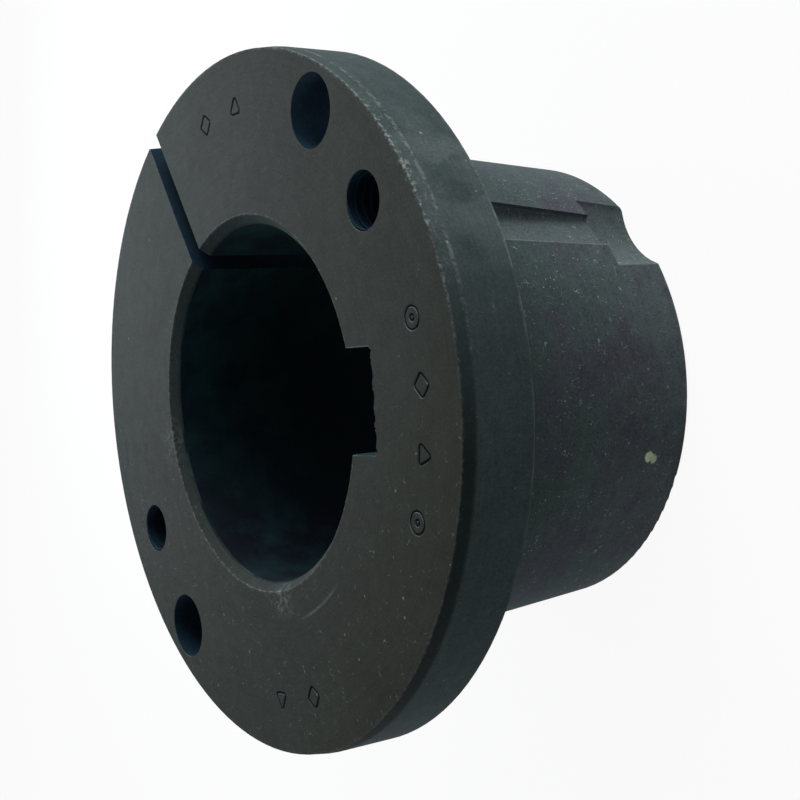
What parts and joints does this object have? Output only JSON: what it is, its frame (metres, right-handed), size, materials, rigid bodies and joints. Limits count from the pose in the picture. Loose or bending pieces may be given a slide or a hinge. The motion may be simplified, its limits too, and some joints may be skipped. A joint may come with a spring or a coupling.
{
  "type": "taper bush",
  "caption": "Flanged, split taper bush with a keyed bore, plain and tapped flange holes, two relief grooves and a round pocket on the barrel.",
  "frame": {"origin": "on the bore axis, at the small end of the barrel, where the bush stands", "axes": "+Z along the bore axis from the small end to the flange face, +X through the middle of the shaft keyway"},
  "size_m": [0.146, 0.146, 0.077],
  "materials": {
    "blackened_iron": "machined and chemically blackened, with a matt, slightly grainy surface"
  },
  "bodies": {
    "root": {"taper_bush": "blackened_iron"}
  },
  "joints": []
}
